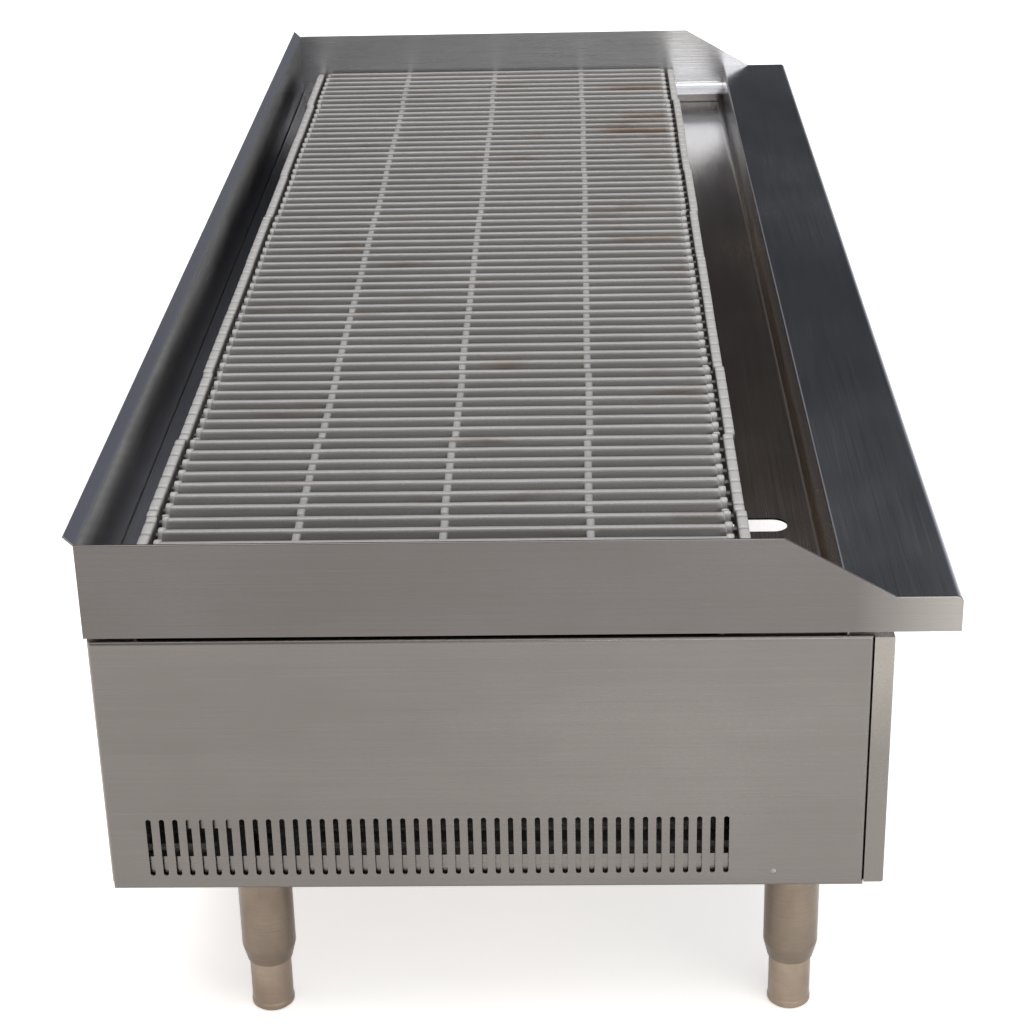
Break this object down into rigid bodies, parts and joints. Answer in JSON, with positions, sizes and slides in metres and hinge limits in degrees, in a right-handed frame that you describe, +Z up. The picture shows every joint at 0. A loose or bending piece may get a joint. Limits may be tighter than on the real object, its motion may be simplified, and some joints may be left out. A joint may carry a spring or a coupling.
{
  "type": "charbroiler grill",
  "caption": "Long low countertop charbroiler: stainless casing on short legs, cast grates between upright splashes, grease trough and shelf along the front.",
  "frame": {"origin": "centre of the bounding box at floor level, under the feet", "axes": "+X along the length to the right of someone standing at the front, +Y to the back, +Z up"},
  "size_m": [1.524, 0.652, 0.43],
  "materials": {
    "brushed_stainless_top": "fine lengthwise brushed, glossy",
    "brushed_stainless_casing": "brushed stainless sheet",
    "cast_iron_grate": "bare grey cast iron with a little rust",
    "heat_tinted_steel": "plain steel plate",
    "burner_steel": "drawn steel tube",
    "valve_brass": "turned brass",
    "knob_black": "moulded, satin",
    "black_pipe": "black steel gas pipe",
    "tray_stainless": "brushed stainless sheet",
    "leg_plated_steel": "plated steel, soft gloss",
    "firebox_steel": "plain steel sheet",
    "galvanised_steel": "galvanised sheet",
    "fastener_steel": "zinc-plated"
  },
  "bodies": {
    "chassis": {"back_panel": "brushed_stainless_casing", "back_splash": "brushed_stainless_top", "burner_1": "burner_steel", "burner_2": "burner_steel", "burner_3": "burner_steel", "burner_4": "burner_steel", "burner_5": "burner_steel", "control_panel": "brushed_stainless_casing", "fasteners": "fastener_steel", "firebox_back_wall": "firebox_steel", "firebox_front_wall": "firebox_steel", "firebox_left_wall": "firebox_steel", "firebox_right_wall": "firebox_steel", "front_grate_rail": "firebox_steel", "front_left_leg": "leg_plated_steel", "front_right_leg": "leg_plated_steel", "front_shelf": "brushed_stainless_top", "gas_manifold": "black_pipe", "gas_valve_1": "valve_brass", "gas_valve_2": "valve_brass", "gas_valve_3": "valve_brass", "gas_valve_4": "valve_brass", "gas_valve_5": "valve_brass", "left_side_panel": "brushed_stainless_casing", "left_splash": "brushed_stainless_top", "leg_plates": "galvanised_steel", "pilot_line": "black_pipe", "radiant_1": "heat_tinted_steel", "radiant_2": "heat_tinted_steel", "radiant_3": "heat_tinted_steel", "radiant_4": "heat_tinted_steel", "radiant_5": "heat_tinted_steel", "rear_grate_rail": "firebox_steel", "rear_left_leg": "leg_plated_steel", "rear_right_leg": "leg_plated_steel", "right_side_panel": "brushed_stainless_casing", "right_splash": "brushed_stainless_top", "tray_slides": "galvanised_steel"},
    "grate_1": {"grate_1": "cast_iron_grate"},
    "grate_2": {"grate_2": "cast_iron_grate"},
    "grate_3": {"grate_3": "cast_iron_grate"},
    "grate_4": {"grate_4": "cast_iron_grate"},
    "grate_5": {"grate_5": "cast_iron_grate"},
    "grate_6": {"grate_6": "cast_iron_grate"},
    "grate_7": {"grate_7": "cast_iron_grate"},
    "grate_8": {"grate_8": "cast_iron_grate"},
    "grate_9": {"grate_9": "cast_iron_grate"},
    "grate_10": {"grate_10": "cast_iron_grate"},
    "knob_1": {"knob_1": "knob_black"},
    "knob_2": {"knob_2": "knob_black"},
    "knob_3": {"knob_3": "knob_black"},
    "knob_4": {"knob_4": "knob_black"},
    "knob_5": {"knob_5": "knob_black"},
    "left_drip_tray": {"left_drip_tray": "tray_stainless"},
    "right_drip_tray": {"right_drip_tray": "tray_stainless"},
    "front_left_foot": {"front_left_foot": "leg_plated_steel"},
    "front_right_foot": {"front_right_foot": "leg_plated_steel"},
    "rear_left_foot": {"rear_left_foot": "leg_plated_steel"},
    "rear_right_foot": {"rear_right_foot": "leg_plated_steel"}
  },
  "joints": [
    {"name": "grate_1_lift", "type": "slide", "parent": "chassis", "child": "grate_1", "axis": [0, 0, 1], "range_m": [0, 0.12]},
    {"name": "grate_2_lift", "type": "slide", "parent": "chassis", "child": "grate_2", "axis": [0, 0, 1], "range_m": [0, 0.12]},
    {"name": "grate_3_lift", "type": "slide", "parent": "chassis", "child": "grate_3", "axis": [0, 0, 1], "range_m": [0, 0.12]},
    {"name": "grate_4_lift", "type": "slide", "parent": "chassis", "child": "grate_4", "axis": [0, 0, 1], "range_m": [0, 0.12]},
    {"name": "grate_5_lift", "type": "slide", "parent": "chassis", "child": "grate_5", "axis": [0, 0, 1], "range_m": [0, 0.12]},
    {"name": "grate_6_lift", "type": "slide", "parent": "chassis", "child": "grate_6", "axis": [0, 0, 1], "range_m": [0, 0.12]},
    {"name": "grate_7_lift", "type": "slide", "parent": "chassis", "child": "grate_7", "axis": [0, 0, 1], "range_m": [0, 0.12]},
    {"name": "grate_8_lift", "type": "slide", "parent": "chassis", "child": "grate_8", "axis": [0, 0, 1], "range_m": [0, 0.12]},
    {"name": "grate_9_lift", "type": "slide", "parent": "chassis", "child": "grate_9", "axis": [0, 0, 1], "range_m": [0, 0.12]},
    {"name": "grate_10_lift", "type": "slide", "parent": "chassis", "child": "grate_10", "axis": [0, 0, 1], "range_m": [0, 0.12]},
    {"name": "knob_1_turn", "type": "hinge", "parent": "chassis", "child": "knob_1", "pos_m": [-0.572, -0.286, 0.275], "axis": [0, -1, 0], "range_deg": [0, 90]},
    {"name": "knob_2_turn", "type": "hinge", "parent": "chassis", "child": "knob_2", "pos_m": [-0.286, -0.286, 0.275], "axis": [0, -1, 0], "range_deg": [0, 90]},
    {"name": "knob_3_turn", "type": "hinge", "parent": "chassis", "child": "knob_3", "pos_m": [0, -0.286, 0.275], "axis": [0, -1, 0], "range_deg": [0, 90]},
    {"name": "knob_4_turn", "type": "hinge", "parent": "chassis", "child": "knob_4", "pos_m": [0.286, -0.286, 0.275], "axis": [0, -1, 0], "range_deg": [0, 90]},
    {"name": "knob_5_turn", "type": "hinge", "parent": "chassis", "child": "knob_5", "pos_m": [0.572, -0.286, 0.275], "axis": [0, -1, 0], "range_deg": [0, 90]},
    {"name": "left_tray_slide", "type": "slide", "parent": "chassis", "child": "left_drip_tray", "axis": [0, -1, 0], "range_m": [0, 0.45]},
    {"name": "right_tray_slide", "type": "slide", "parent": "chassis", "child": "right_drip_tray", "axis": [0, -1, 0], "range_m": [0, 0.45]},
    {"name": "front_left_foot_adjust", "type": "slide", "parent": "chassis", "child": "front_left_foot", "axis": [0, 0, 1], "range_m": [-0.012, 0.016]},
    {"name": "front_right_foot_adjust", "type": "slide", "parent": "chassis", "child": "front_right_foot", "axis": [0, 0, 1], "range_m": [-0.012, 0.016]},
    {"name": "rear_left_foot_adjust", "type": "slide", "parent": "chassis", "child": "rear_left_foot", "axis": [0, 0, 1], "range_m": [-0.012, 0.016]},
    {"name": "rear_right_foot_adjust", "type": "slide", "parent": "chassis", "child": "rear_right_foot", "axis": [0, 0, 1], "range_m": [-0.012, 0.016]}
  ]
}
